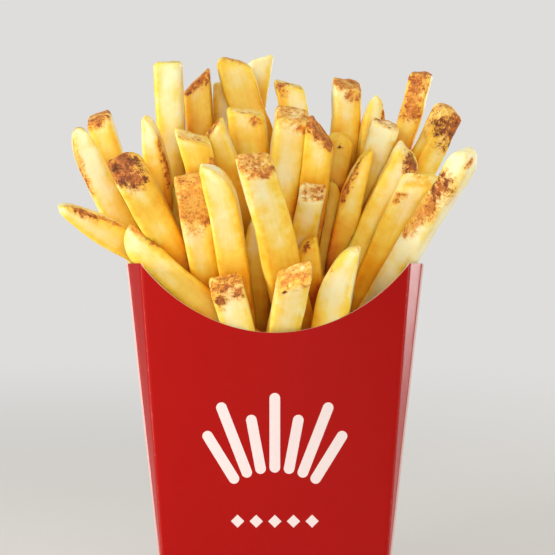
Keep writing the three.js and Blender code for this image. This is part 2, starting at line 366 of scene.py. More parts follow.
def frontPlan(height):
    # half of the front sheet's plan, from its glued end to the middle of the bulging front panel
    fold, corner, backCorner = [spotAt(name, height) for name in ("fold", "front", "back")]
    under = Vector((carton["board"], 0))
    lap = fold + (backCorner - fold).normalized() * carton["glueLap"] - under
    start = corner + (fold - corner).normalized() * carton["creaseRadius"]
    points = [lap, (lap + fold - under) / 2]
    points += [(fold - under).lerp(start, k) for k in (0, 0.03, 0.3, 0.6, 0.97, 1)]
    return points + panelPoints(corner, start, -sizeAt("frontBow", height), 18)


def backPlan(height):
    fold, corner = [spotAt(name, height) for name in ("fold", "back")]
    start = corner + (fold - corner).normalized() * carton["creaseRadius"]
    points = [fold.lerp(start, k / 8) for k in range(9)]
    return points + panelPoints(corner, start, sizeAt("backBow", height), 14)


def wholePlan(half, towards):
    # mirrors a half plan and puts it in counter-clockwise order
    other = [Vector((-p.x, p.y)) for p in half]
    if towards == "front":
        return other[:-1] + half[::-1]
    return half[:-1] + other[::-1]


def addSheet(build, planAt, towards, topOf):
    # a folded sheet of board as a closed shell: coated outside, white inside, cut edges between
    rim = carton["rimHeight"]
    foot = carton["footRadius"]
    rows = carton["rows"]
    footPlan = wholePlan(planAt(0), towards)
    rimPlan = wholePlan(planAt(rim), towards)
    last = len(rimPlan) - 1

    def planPoint(column, z):
        column = clamped(column, 0, last)
        return footPlan[column].lerp(rimPlan[column], z / rim)

    def addStrip(lineA, lineB, finish):
        for k in range(len(lineA) - 1):
            corners = (lineA[k], lineA[k + 1], lineB[k + 1], lineB[k])
            build.faces.new(corners).material_index = boardSide[finish]

    outer, inner = [], []
    for row in range(rows + 1):
        outerLine, innerLine = [], []
        for column in range(last + 1):
            z = topOf(rimPlan[column]) * (row / rows) ** carton["rowCrowding"]
            here = planPoint(column, z)
            along = (planPoint(column + 1, z) - planPoint(column - 1, z)).normalized()
            out = Vector((along.y, -along.x))
            tuck = foot - math.sqrt(max(foot * foot - max(foot - z, 0) ** 2, 0))
            wave = noise.noise(Vector((here.x, here.y, z)) / carton["waveSize"])
            wave *= carton["waviness"] * smoothStep(*carton["waveFrom"], z)
            face = here + out * (min(wave, 0) - tuck)
            back = face - out * carton["board"]
            outerLine.append(build.verts.new((face.x, face.y, z)))
            innerLine.append(build.verts.new((back.x, back.y, z)))
        outer.append(outerLine)
        inner.append(innerLine)

    for row in range(rows):
        addStrip(outer[row], outer[row + 1], "coated")
        addStrip(inner[row + 1], inner[row], "white")
    addStrip(outer[rows], inner[rows], "cut")
    addStrip(inner[0], outer[0], "cut")
    addStrip([line[0] for line in outer], [line[0] for line in inner], "cut")
    addStrip([line[-1] for line in inner], [line[-1] for line in outer], "cut")


def frontTop(p):
    if abs(p.x) < carton["frontHalf"]["rim"] and p.y < carton["frontY"]["rim"]:
        return scoopHeight(p.x)
    return sideHeight(max(p.y, carton["frontY"]["rim"]))


def backTop(p):
    if p.y > carton["backY"]["rim"] - 0.01:
        return archHeight(p.x)
    return sideHeight(p.y)


# The print: a fan of bars over a row of small diamonds
pattern = {
    "fanHeight": 22.5 * mm,  # of the point that the bars fan out from
    "barStep": math.radians(10.5),
    "barsEachSide": 3,
    "barFrom": 23.5 * mm,
    "barTo": 44.5 * mm,
    "shorter": 6 * mm,  # every second bar is this much shorter
    "barHalfWidth": 1.6 * mm,
    "diamondStep": 5.6 * mm,
    "diamondsEachSide": 2,
    "diamondHeight": 29.5 * mm,
    "diamondHalf": 2 * mm,
    "frontOf": -14 * mm,  # only the front panel lies in front of this
}


def boardPrint(tree, where):
    # 1 where the front panel is printed
    x, y, z = addNode(tree, "SeparateXYZ", {0: where}).outputs
    rise = minus(tree, z, pattern["fanHeight"])
    angle = calc(tree, "ARCTAN2", x, rise)
    reach = lengthOf(tree, x, rise)
    index = nearestStep(tree, angle, pattern["barStep"], pattern["barsEachSide"])
    turned = minus(tree, angle, times(tree, index, pattern["barStep"]))
    across = times(tree, calc(tree, "SINE", turned), reach)
    along = times(tree, calc(tree, "COSINE", turned), reach)
    odd = calc(tree, "ABSOLUTE", calc(tree, "MODULO", index, 2.0))
    far = minus(tree, pattern["barTo"], times(tree, odd, pattern["shorter"]))
    beyond = calc(tree, "MAXIMUM", minus(tree, along, far), minus(tree, pattern["barFrom"], along))
    apart = lengthOf(tree, across, calc(tree, "MAXIMUM", beyond, 0.0))
    bars = calc(tree, "LESS_THAN", apart, pattern["barHalfWidth"])
    place = nearestStep(tree, x, pattern["diamondStep"], pattern["diamondsEachSide"])
    side = calc(tree, "ABSOLUTE", minus(tree, x, times(tree, place, pattern["diamondStep"])))
    level = calc(tree, "ABSOLUTE", minus(tree, z, pattern["diamondHeight"]))
    diamonds = calc(tree, "LESS_THAN", addUp(tree, side, level), pattern["diamondHalf"])
    printed = calc(tree, "MAXIMUM", bars, diamonds)
    return times(tree, printed, calc(tree, "LESS_THAN", y, pattern["frontOf"]))


def coatedBoard():
    material, tree, shader = newMaterial("coated_red_board")
    where = addNode(tree, "TexCoord", {}).outputs["Object"]
    mottle = noiseAt(tree, where, 14, 4, 0.6)
    fibre = noiseAt(tree, where, 0.9, 4, 0.65, (1, 1, 0.35))
    red = blend(tree, spread(tree, mottle, 0.0, 0.35), coating["red"], coating["deepRed"])
    red = blend(tree, spread(tree, fibre, 0.0, 0.12), red, coating["brightRed"])
    ink = blend(tree, spread(tree, fibre, 0.0, 0.25), coating["print"], coating["printShade"])
    colour = blend(tree, boardPrint(tree, where), red, ink)

    # pale scuffs along the folds, and a painted highlight line on them where the folds catch the light
    crease = readAttribute(tree, "crease")
    scuff = softStep(tree, times(tree, crease, noiseAt(tree, where, 1.6, 5, 0.7)), 0.5, 0.66)
    colour = blend(tree, times(tree, scuff, 0.35), colour, coating["scuff"])
    patches = spread(tree, mottle, -0.3, 1.2)
    paintedFoldLine = calc(tree, "MULTIPLY", softStep(tree, crease, 0.9, 1.0), patches, clamp=True)
    colour = blend(tree, times(tree, paintedFoldLine, 0.42), colour, coating["foldHighlight"])

    rough = spread(tree, noiseAt(tree, where, 5, 3, 0.6), 0.3, 0.42)
    dress(tree, shader, {
        "Base Color": colour,
        "Roughness": addUp(tree, rough, times(tree, scuff, 0.2)),
        "Specular IOR Level": coating["gloss"],
        "Coat Weight": coating["varnish"],
        "Coat Roughness": coating["varnishRoughness"],
        "Normal": bumped(tree, fibre, 0.1, 0.05, bumped(tree, mottle, 0.12, 0.3)),
    })
    return material


def whiteBoard(name, colours):
    material, tree, shader = newMaterial(name)
    where = addNode(tree, "TexCoord", {}).outputs["Object"]
    fibre = noiseAt(tree, where, 0.6, 5, 0.7, (1, 1, 0.3))
    blotch = noiseAt(tree, where, 9, 4, 0.6)
    shade = blend(tree, spread(tree, fibre, 0.0, 0.5), *colours)
    shade = blend(tree, softStep(tree, blotch, 0.56, 0.75), shade, bareBoard["yellowed"])
    dress(tree, shader, {
        "Base Color": shade,
        "Roughness": spread(tree, blotch, 0.55, 0.8),
        "Normal": bumped(tree, fibre, 0.25, 0.08),
    })
    return material


def creaseAt(p):
    # 1 on the four upright folds and along the foot
    gaps = [(Vector((abs(p.x), p.y)) - spotAt(name, p.z)).length for name in ("front", "back")]
    return 1 - smoothStep(*carton["creaseReach"], min(*gaps, p.z + 0.5))


def addFloorPanel(build):
    inset = carton["footRadius"] + carton["floorGap"]
    shareAcross = 1 - inset / carton["frontHalf"]["base"]
    shareDeep = 1 + inset / carton["frontY"]["base"]
    outline = wholePlan(frontPlan(0), "front")[2:-2] + wholePlan(backPlan(0), "back")[1:-1]
    rings = []
    for z in (0.0, carton["board"]):
        rings.append([build.verts.new((p.x * shareAcross, p.y * shareDeep, z)) for p in outline])
    joinRings(build, rings, side=boardSide["cut"], bottom=boardSide["coated"], top=boardSide["white"])


def addCarton():
    build = bmesh.new()
    addSheet(build, frontPlan, "front", frontTop)
    addSheet(build, backPlan, "back", backTop)
    addFloorPanel(build)
    creases = [creaseAt(vert.co) for vert in build.verts]
    materials = [
        coatedBoard(),
        whiteBoard("inner_white_board", bareBoard["inside"]),
        whiteBoard("cut_edge_board", bareBoard["cutEdge"]),
    ]
    piece = addPiece("folding_carton", build, materials, [("crease", creases)])
    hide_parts("carton")


addCarton()
print("carton folded")

# The fries: the same heap as the part's, fry by fry
stick = {
    "thick": 8.3,
    "rootHeight": 70,
    "longest": 96,
    "narrowest": 0.2,  # the shares of its width and thickness that a tapered tip keeps
    "thinnest": 0.4,
    "rollSwing": 7,  # degrees that each fry turns about its length, by a sine of its number
    "rollStep": 2.4,
    "cornerShare": (0.26, 0.42),  # of the smaller half
    "endRadius": (0.9, 1.7),
    "wobble": 0.5,
    "sway": 0.06,  # how much the width varies along it
    "hollow": (-0.12, 0.16),
    "endRough": 0.55,
    "noiseLength": {"sway": 11, "wobble": 17, "endRough": 2.6},
    "wobbleFrom": (0, 12),  # it grows between these distances from the tip
    "lowShadeFrom": (0.2, 1),  # where the painted shade towards the low point sets in, as shares of the length that shows
    "trimMost": 0.8,  # of the smaller half, what the rounded end may take off
    "leastCorner": 0.15,
    "fineStep": 0.75,
    "stepGrowth": 1.12,
    "coarseStep": 1.35,
    "hiddenStep": 7,
    "pastLow": 7,  # the fine steps run on this far past the low point
    "endArc": (25, 50, 72, 90),  # degrees, the rings of its rounded end
    "endFace": (0.78, 0.56, 0.34, 0.14),  # the rings of its end face, as shares of its size
    "fibreShift": 60,  # how far apart along the fibres' pattern two fries lie
    "seed": 29,
    "seedSpread": 90,
}

# Each low form is its height and how long it is
relief = {
    "lump": (0.26, 8),
    "ripple": (0.07, 2.6),
    "ragged": (0.22, 1.7),  # how uneven a crust's edge is
    "crustAt": (0.4, 0.62),  # the browning over which the blisters rise
    "blister": (0.34, 1.6),
    "pimple": (0.2, 0.9),
    "sunk": 0.12,
}

# A stain reaches round the corners of its fry, and the far side has stains of its own
browning = {
    "slack": 0.8,
    "wrap": 1.2,
    "leastWrap": 2,
    "farCount": 2,
    "farChance": 0.6,
    "farReach": 45,
    "farAcross": 1.1,
    "farLong": (1.5, 6),
    "farWide": (0.8, 2.4),
    "farDark": (0.1, 0.5),
    "endDark": (0.1, 0.45),
    "endReach": (0.6, 2.4),
}

packing = {
    "firstRow": -17,  # how deep the front row's roots start
    "rowStep": 5.6,
    "fan": 1.45,  # how much further apart the tips start than the roots
    "looseFrom": 84,  # below this height they may pass through each other
    "buried": 0.3,  # the share of the clearance kept where the one behind is out of sight
    "tipReach": (-43, 33),
    "sampleStep": 4,
    "rounds": 300,
    "wallGap": 0.6,
    "snug": 0.98,
}

# The fries behind the others
heapFill = {
    "seed": 11,
    "count": 13,
    "across": 35,  # half of how far they spread at the rim
    "up": (119, 138),  # heights of their tips
    "shown": 35,
    "lean": 0.25,  # the outer ones lean outwards by this share of their place
    "wide": (7.4, 8.6),
    "uneven": 0.3,
}


def stain(across, up, long, wide, dark):
    # a browned place as it is seen from the front: its middle, half sizes and how dark it is
    return {"at": (across, up), "long": long, "wide": wide, "dark": dark}


def fry(tip, low, wide, cut=(0, 0), taper=(0, 0), bow=0, thick=None, roll=None, face=None, tone=0.25,
        glow=0.6, end=(0, 0, 1), stains=()):
    # tip is the middle of its upper end, and low a lower point of its middle line, both as seen
    # cut slants its end face across and in depth; taper is how long it narrows and to which side
    # end is how far its end face is browned, how dark, and how far down it reaches; None draws one later
    # roll turns it so that two faces show, and face is then the width of the wider one
    # tone is how amber it is: partly its own colour, partly painted light that makes fries lying in shade
    # paler. glow is painted shade: how much more amber it gets towards its low point, where it sinks among
    # the others
    return {
        "tip": tip,
        "low": low,
        "wide": wide,
        "thick": thick or stick["thick"],
        "cut": cut,
        "taper": taper,
        "bow": bow,
        "roll": roll,
        "face": face or wide,
        "tone": tone,
        "glow": glow,
        "end": end,
        "stains": list(stains),
    }


# The front row comes first. Places are across and up as seen from the front.
heapRows = [
    [
        fry((-15.2, 100.3), (-10.8, 83.9), 9.8, cut=(0, 0.5), tone=0.15, glow=0.1, end=(0.6, 0.35, 1.6),
            stains=[stain(-17, 96.2, 3, 1.4, 0.5), stain(-12, 99.4, 2.4, 1.5, 0.5),
                    stain(-19, 100, 2.6, 1.3, 0.15)]),
        fry((6, 102.6), (2.3, 83.9), 9.6, cut=(0.75, 0.2), tone=0.2, glow=0.1, end=(0.56, 0.12, 2.2),
            stains=[stain(3, 101, 0.9, 0.9, 1)]),
        fry((21, 111.6), (16.8, 86.9), 10.4, taper=(22, 1), cut=(0, 0.2), tone=0.2, glow=0.3,
            end=(0.4, 0.15, 0.8), stains=[stain(18, 109, 4.5, 1, 0.12)]),
    ],
    [
        fry((-46.8, 114.4), (-21.5, 93.2), 9, taper=(10, 1), tone=0.3,
            stains=[stain(-40.6, 115.9, 6, 1.3, 0.1)]),
        fry((59.2, 140), (32.2, 95.5), 8.3, taper=(6, 0), cut=(0, 0.2), roll=-22, face=7.4, tone=-0.1,
            glow=0,
            stains=[stain(51.4, 128.4, 4.6, 3.1, 0.58), stain(47, 122.4, 5, 2.8, 0.08),
                    stain(42.6, 117.1, 4.2, 2.3, 0.02), stain(61.6, 138.2, 2.4, 0.7, 0.2)]),
        fry((-18.5, 136), (-12.2, 92), 9, taper=(12, -1), bow=1.4, tone=0.15),
        fry((-6, 136.3), (3, 97.6), 10.8, cut=(-0.3, 0.35), bow=0.8, thick=9, tone=0.2, end=(0.5, 0.1, 1.2),
            stains=[stain(-7.8, 136.8, 1.5, 3, 0.35), stain(-4.4, 136, 1.1, 1.4, 0.45)]),
        fry((8.8, 112.8), (13.1, 88.9), 8, taper=(12, 1), tone=0.6, glow=1.5,
            stains=[stain(9, 111.7, 1.6, 1.3, 0.45)]),
        fry((44.7, 131.8), (30, 101), 10.8, cut=(0.45, 0.3), taper=(3, 0), tone=0.25, glow=0.8,
            end=(0.3, 0.3, 0.7),
            stains=[stain(35.8, 127.2, 1.1, 1.4, 0.2), stain(39, 129.4, 1.1, 1.4, 0.25)]),
    ],
    [
        fry((-26, 131), (-19.7, 94.6), 9.6, cut=(0, 0.3), tone=0.3, end=(0.9, 0.15, 2),
            stains=[stain(-25.5, 126.4, 7.4, 4.8, 0.08), stain(-21.9, 121, 3, 1.6, 0.35)]),
        fry((-5.9, 119.7), (-5.4, 91.5), 8, taper=(18, 0), tone=-0.1, glow=0.9),
        fry((41.4, 140.2), (30, 117.4), 9.2, taper=(4, -0.6), cut=(-0.35, 0.4), tone=0,
            stains=[stain(42.8, 138.4, 4.4, 2.6, 0.62)]),
        fry((-45.8, 136.5), (-24.9, 98.5), 10.6, cut=(0, 0.75), taper=(4, -1), thick=9, tone=0.5, glow=0.4,
            end=(0.95, 0.6, 2.4), stains=[stain(-43.8, 134.8, 3.8, 3.2, 0.6)]),
        fry((11.6, 127.8), (7.6, 108.3), 8.2, cut=(0.1, 0.2), tone=0, glow=0.2, end=(0.47, 0.2, 0.7)),
        fry((26.4, 141), (17.6, 101), 7.6, taper=(30, 1), tone=0.6, glow=1.1,
            stains=[stain(26.4, 140.4, 3, 1, 0.55), stain(24.2, 136, 5, 1, 0.5),
                    stain(21.4, 129.6, 5, 0.9, 0.4)]),
        fry((-66, 123.2), (-36.5, 107.4), 8.6, taper=(26, 0), thick=7.8, tone=0.15,
            stains=[stain(-59.5, 123, 5, 1.5, 0.45), stain(-52.6, 120.8, 6, 0.9, 0.25)]),
    ],
    [
        fry((-60.6, 147), (-42.4, 117.4), 8.3, taper=(12, 0), bow=-4, tone=0.05, glow=0,
            end=(0.3, 0, 2),
            stains=[stain(-60.4, 135.6, 6, 0.6, 0.3), stain(-57.6, 130, 3, 0.8, 0.4),
                    stain(-61.8, 139.4, 6.5, 1.4, -0.12)]),
        fry((33.9, 148.5), (26.5, 120.5), 8.8, cut=(-0.1, 0.1), tone=-0.15, glow=0.3, end=(0.4, 0.3, 0.5)),
        fry((14, 146.2), (11.5, 126), 8.6, cut=(-1, 0), tone=0.5, end=(1, 0.5, 2)),
        fry((5.5, 151.4), (-1, 113), 10.4, cut=(0, 0.4), bow=0.6, tone=0.1, end=(0.45, 0, 2),
            stains=[stain(8.4, 148.4, 1.6, 1.9, 0.25)]),
        fry((-37.4, 150.8), (-34.8, 122), 7.4, taper=(22, -0.8), tone=0.15,
            stains=[stain(-34.8, 145, 8, 0.5, 0.3), stain(-32.8, 136, 8, 0.5, 0.35)]),
        fry((-25.1, 144.4), (-20.7, 127), 9.4, cut=(-0.65, 0.1), tone=0.4, end=(0.3, 0.2, 0.6),
            stains=[stain(-28.4, 145.2, 1.5, 1.6, 0.55), stain(-19.4, 137.6, 2.2, 1.1, 0.25)]),
        fry((53.6, 153.4), (42, 130), 10, taper=(2.5, 0), cut=(0, 0.2), roll=24, face=7.4, tone=0.3,
            end=(0.6, 0.1, 1.6), stains=[stain(54, 147.6, 6.2, 6.4, 0.6)]),
    ],
    [
        fry((-19.1, 146.8), (-12, 128), 8, cut=(0.7, 0), tone=0.35, end=(0.6, 0.5, 0.7),
            stains=[stain(-15.9, 133.3, 1, 1, 0.4)]),
        fry((20.4, 145.3), (16, 122), 8, taper=(4, 0), cut=(0, 0.3), tone=0.7, glow=0.4,
            stains=[stain(19.8, 142.1, 0.8, 0.8, 1)]),
        fry((-9, 152.3), (-6.6, 132.7), 11, cut=(-0.3, 0.1), tone=0.35, glow=0.3, end=(0.2, 0.1, 1),
            stains=[stain(-9.6, 153.6, 1, 3.4, 0.45), stain(-6.2, 150.6, 1.6, 1.3, 0.35)]),
        fry((-54.1, 150.6), (-47.1, 129.6), 7.7, cut=(0.05, 0.5), tone=0.15, end=(0.62, 0.35, 1.5),
            stains=[stain(-55.2, 149.8, 2.2, 2.6, 0.4)]),
        fry((30.9, 156.8), (29, 138), 7.8, taper=(18, 0), tone=0,
            stains=[stain(33, 152.5, 5, 0.6, 0.4)]),
    ],
    [
        fry((45, 164.2), (37.5, 138), 6.8, thick=6.8, cut=(0.1, 0.1), taper=(1.5, 0.4), tone=0.3,
            end=(0.9, 0.4, 1.2),
            stains=[stain(44.2, 161.2, 3.6, 2.8, 0.3), stain(42.3, 156.2, 4.6, 2.4, 0.2),
                    stain(41, 151.9, 2.6, 3, 0.28)]),
        fry((-13.4, 168.4), (-6.2, 146), 10.4, cut=(-0.5, 0.2), taper=(4, 0), tone=0.28,
            end=(0.62, 0.2, 1.2)),
        fry((4.2, 160.4), (7, 145), 8.6, cut=(-0.45, 0.2), tone=0.2, end=(0.3, 0.3, 0.6),
            stains=[stain(1.2, 161, 3.5, 1.8, 0.4)]),
        fry((-32.6, 167), (-31.2, 121), 8.2, tone=0.1),
    ],
    [
        fry((22, 160.9), (21, 140.3), 8.6, cut=(-0.2, 0.4), tone=-0.15, end=(0.7, 0.25, 1.3),
            stains=[stain(24, 158.4, 2.2, 2.4, 0.3)]),
        fry((-23.7, 161.9), (-22.3, 140.3), 8.2, cut=(0.8, 0.2), tone=0.35, end=(0.95, 0.38, 2.4)),
        fry((-15.2, 160.7), (-15.4, 144), 7.3, thick=9.4, tone=-0.25, glow=0),
        fry((-4.5, 168.2), (-7.2, 148), 7.4, cut=(0.45, 0), tone=-0.15),
    ],
]


# Deep ones that close the gaps between the rest, each with its own depth at the tip and at the root
deepFries = [
    (fry((-33.5, 130), (-24, 99), 8.6, taper=(14, 0), tone=0, glow=0.4), 3, -2),
    (fry((17.2, 131), (15.8, 101), 7.8, taper=(14, 0), tone=0.4, glow=0.5), 4, 2),
    (fry((-34, 90.5), (-20, 68), 8.6, cut=(0.3, 0.3), tone=0.5), -15, -14),
    (fry((-26, 86), (-22, 62), 9, cut=(-0.2, 0), tone=0.6, end=(0.7, 0.3, 2)), -19, -17),
    (fry((33, 91), (22, 68), 9, cut=(-0.4, 0.2), tone=0.5, end=(0.8, 0.3, 1.5)), -14, -12),
    (fry((27, 87), (24, 62), 8.4, taper=(12, 0), tone=0.4), -20, -17),
    (fry((37, 97), (27, 74), 8, taper=(10, 0), tone=0.6), -6, -5),
    (fry((-37.5, 96), (-26, 74), 8.4, cut=(0.5, 0), tone=0.3), -7, -5),
]


def seenAt(across, up, y):
    # the point that the camera sees at (across, up) and that lies y deep
    tilt = math.radians(shot["tilt"])
    targetX, _, targetZ = shot["target"]
    rise = up - targetZ
    depth = (y - rise * math.sin(tilt)) / (math.cos(tilt) + rise * math.sin(tilt) / shot["distance"])
    scale = 1 + depth / shot["distance"]
    z = targetZ + rise * scale * math.cos(tilt) - depth * math.sin(tilt)
    return Vector((targetX + (across - targetX) * scale, y, z))


def plantFry(row, f):
    # runs the fry on down from its low point to a root inside the carton
    dx = f["low"][0] - f["tip"][0]
    dz = f["low"][1] - f["tip"][1]
    shown = math.hypot(dx, dz)
    length = min((f["tip"][1] - stick["rootHeight"]) / -dz * shown, stick["longest"])
    rootX = f["tip"][0] + dx / shown * length
    rootZ = f["tip"][1] + dz / shown * length
    most = sizeAt("frontHalf", rootZ) - f["wide"] / 2 - packing["wallGap"] - carton["board"]
    f["root"] = (clamped(rootX, -most, most), rootZ)
    f["length"] = length
    f["rootY"] = packing["firstRow"] + packing["rowStep"] * row
    f["tipY"] = f["rootY"] * packing["fan"]
    return f


def backRows():
    random = randomFrom(heapFill["seed"])
    count = heapFill["count"]
    behind = []
    for i in range(count):
        spot = (i + 0.5 + heapFill["uneven"] * (next(random) - 0.5)) / count
        place = mixed(-heapFill["across"], heapFill["across"], spot)
        top = mixed(*heapFill["up"], next(random))
        wide = mixed(*heapFill["wide"], next(random))
        cut = (next(random) - 0.5, 0)
        tip = (place * (1 + heapFill["lean"]), top)
        behind.append(fry(tip, (place, top - heapFill["shown"]), wide, cut=cut, end=None))
    return [behind[1::2], behind[0::2]]


def lineAt(f, s):
    across = mixed(f["tip"][0], f["root"][0], s) + f["bow"] * 4 * s * (1 - s)
    return across, mixed(f["tip"][1], f["root"][1], s), mixed(f["tipY"], f["rootY"], s)


def findCrossings(fries):
    # every place where a fry passes in front of a later one, and how far apart they must be in depth
    samples = []
    for f in fries:
        loose = (f["tip"][1] - packing["looseFrom"]) / (f["tip"][1] - f["root"][1])
        steps = math.ceil(loose * f["length"] / packing["sampleStep"])
        line = []
        for k in range(steps + 1):
            s = loose * k / steps
            across, up, _ = lineAt(f, s)
            line.append((s, across, up, up > f["low"][1] - f["wide"] / 2))
        samples.append(line)
    found = []
    for i, front in enumerate(fries):
        for j in range(i + 1, len(fries)):
            behind = fries[j]
            reach = (front["wide"] + behind["wide"]) / 2 * packing["snug"]
            for s, across, up, inSight in samples[i]:
                if not inSight:
                    continue
                for otherS, otherAcross, otherUp, otherInSight in samples[j]:
                    apart = math.hypot(across - otherAcross, up - otherUp) / reach
                    if apart >= 1:
                        continue
                    need = (front["thick"] + behind["thick"]) / 2 * (1 - apart ** 4) ** 0.25
                    if not otherInSight:
                        need *= packing["buried"]
                    found.append((front, behind, s, otherS, need))
    return found


def shiftFry(f, s, by):
    f["tipY"] += by * (1 - s)
    f["rootY"] += by * s


def keepInside(f):
    fall = f["tip"][1] - f["root"][1]
    leanX = (f["tip"][0] - f["root"][0]) / fall
    leanY = (f["tipY"] - f["rootY"]) / fall
    clear = packing["wallGap"] + carton["board"]
    halfWide = f["wide"] / 2 * math.hypot(1, leanX) + clear
    halfThick = f["thick"] / 2 * math.hypot(1, leanY) + clear

    def frontAt(height, across):
        bulge = 1 - min(abs(across) / carton["frontHalf"]["rim"], 1) ** 2
        return sizeAt("frontY", height) - sizeAt("frontBow", height) * bulge + halfThick

    def backAt(height):
        return sizeAt("backY", height) - halfThick

    def shareAt(height):
        return clamped((f["tip"][1] - height) / fall, 0, 1)

    f["tipY"] = clamped(f["tipY"], *packing["tipReach"])
    f["rootY"] = clamped(f["rootY"], frontAt(f["root"][1], f["root"][0]), backAt(f["root"][1]))

    rim = carton["rimHeight"]
    scoop = scoopHeight(lineAt(f, shareAt(rim - carton["scoopDip"] / 2))[0])
    overX, _, overY = lineAt(f, shareAt(scoop))
    if overY < frontAt(scoop, overX):
        shiftFry(f, shareAt(scoop), frontAt(scoop, overX) - overY)

    rimX, _, rimY = lineAt(f, shareAt(rim))
    outwards = abs(rimX) + halfWide - carton["frontHalf"]["rim"]
    foldOut = carton["foldHalf"]["rim"] - carton["frontHalf"]["rim"]
    foldDeep = carton["foldY"]["rim"] - carton["frontY"]["rim"]
    least = carton["frontY"]["rim"] + outwards / foldOut * foldDeep
    if outwards > 0 and rimY < least:
        shiftFry(f, shareAt(rim), min(least, carton["foldY"]["rim"]) - rimY)

    arch = archHeight(rimX)
    pastY = lineAt(f, shareAt(arch))[2]
    if pastY > backAt(arch):
        shiftFry(f, shareAt(arch), backAt(arch) - pastY)


def settleHeap(fries):
    # pushes the fries apart in depth until none that show pass through each other
    places = findCrossings(fries)
    for _ in range(packing["rounds"]):
        for front, behind, s, otherS, need in places:
            frontY = front["tipY"] + (front["rootY"] - front["tipY"]) * s
            behindY = behind["tipY"] + (behind["rootY"] - behind["tipY"]) * otherS
            short = need - (behindY - frontY)
            if short > 0:
                shiftFry(front, s, -short / 2)
                shiftFry(behind, otherS, short / 2)
        for f in fries:
            keepInside(f)


def widthLeft(f, distance):
    long = f["taper"][0]
    if distance >= long:
        return 1
    share = 1 - distance / long
    return max(stick["narrowest"], math.sqrt(max(1 - share * share, 0)))


def sectionPoints(halfWide, halfThick, corner, hollow):
    # round a rounded rectangle: (u, v, outward u, outward v, how much of an edge it is)
    points = []
    insideU = halfWide - corner
    insideV = halfThick - corner
    signs = ((1, 1), (-1, 1), (-1, -1), (1, -1))
    for quarter, (signU, signV) in enumerate(signs):
        for k in range(4):
            angle = math.radians(90 * quarter + 30 * k)
            out = (math.cos(angle), math.sin(angle))
            points.append((signU * insideU + corner * out[0], signV * insideV + corner * out[1], *out, 1.0))
        endU, endV = points[-1][0], points[-1][1]
        nextU, nextV = signs[(quarter + 1) % 4]
        startU = nextU * insideU + corner * out[0]
        startV = nextV * insideV + corner * out[1]
        for k in range(1, 5):
            t = k / 5
            dent = hollow * (1 - (2 * t - 1) ** 2)
            u = mixed(endU, startU, t) - out[0] * dent
            v = mixed(endV, startV, t) - out[1] * dent
            besideEdge = k in (1, 4)
            points.append((u, v, *out, 0.35 if besideEdge else 0.0))
    return points


def ringPlan(f, endRadius):
    # from root to tip: distance from the tip, inset of the section, share of the end face, surface tilt
    shown = math.hypot(f["tip"][0] - f["low"][0], f["tip"][1] - f["low"][1]) + stick["pastLow"]
    plan = []
    distance, step = endRadius, stick["fineStep"]
    while distance < f["length"]:
        plan.append((distance, 0, 1, 0))
        if distance < shown:
            step = min(step * stick["stepGrowth"], stick["coarseStep"])
        else:
            step = stick["hiddenStep"]
        distance += step
    plan.append((f["length"], 0, 1, 0))
    plan.reverse()
    for degrees in stick["endArc"]:
        angle = math.radians(degrees)
        plan.append((endRadius * (1 - math.sin(angle)), endRadius * (1 - math.cos(angle)), 1, angle))
    for share in stick["endFace"]:
        plan.append((0, endRadius, share, math.radians(90)))
    return plan


def stainAt(f, u, v, distance, halfThick):
    # how far the place is browned (0.5 at a stain's edge) and how dark
    amount, dark = 0.0, 0.0
    endAmount, endDark, endReach = f["end"]
    if endAmount > 0:
        amount = endAmount * max(1 - 0.5 * distance / endReach, 0)
        dark = endDark
    for spot in f["placed"]:
        along = (distance - spot["distance"]) / spot["long"]
        across = (u - spot["u"]) / spot["wide"]
        wrap = max(browning["leastWrap"], spot["wide"] * browning["wrap"])
        away = max(abs(v - spot["side"] * halfThick) - browning["slack"], 0) / wrap
        here = max(1 - 0.5 * math.sqrt(along * along + across * across + away * away), 0)
        if here > amount:
            dark = mixed(spot["dark"], dark, clamped(amount / max(here, 0.01), 0, 1) * 0.5)
            amount = here
    return amount, dark


def placeStains(f, random):
    # from the seen place to a distance down the fry and a distance across it
    placed = []
    downX = f["root"][0] - f["tip"][0]
    downZ = f["root"][1] - f["tip"][1]
    length = math.hypot(downX, downZ)
    downX, downZ = downX / length, downZ / length
    for spot in f["stains"]:
        x = spot["at"][0] - f["tip"][0]
        z = spot["at"][1] - f["tip"][1]
        distance = x * downX + z * downZ
        bend = f["bow"] * 4 * (distance / length) * (1 - distance / length)
        u = clamped(-x * downZ + z * downX - bend, -f["wide"] / 2, f["wide"] / 2)
        placed.append({**spot, "distance": distance, "u": u, "side": -1})
    for _ in range(browning["farCount"]):
        if next(random) < browning["farChance"]:
            placed.append({
                "distance": next(random) * browning["farReach"],
                "u": (next(random) - 0.5) * f["wide"] * browning["farAcross"],
                "long": mixed(*browning["farLong"], next(random)),
                "wide": mixed(*browning["farWide"], next(random)),
                "dark": mixed(*browning["farDark"], next(random)),
                "side": 1,
            })
    if f["end"] is None:
        amount = next(random)
        dark = mixed(*browning["endDark"], next(random))
        f["end"] = (amount, dark, mixed(*browning["endReach"], next(random)))
    return placed


# Keeps the fries clear of the board: these are added to its own thickness and edges
room = {"box": 0.05, "board": 0.2, "corner": 0.35, "overRim": 0.6, "overArch": 1}


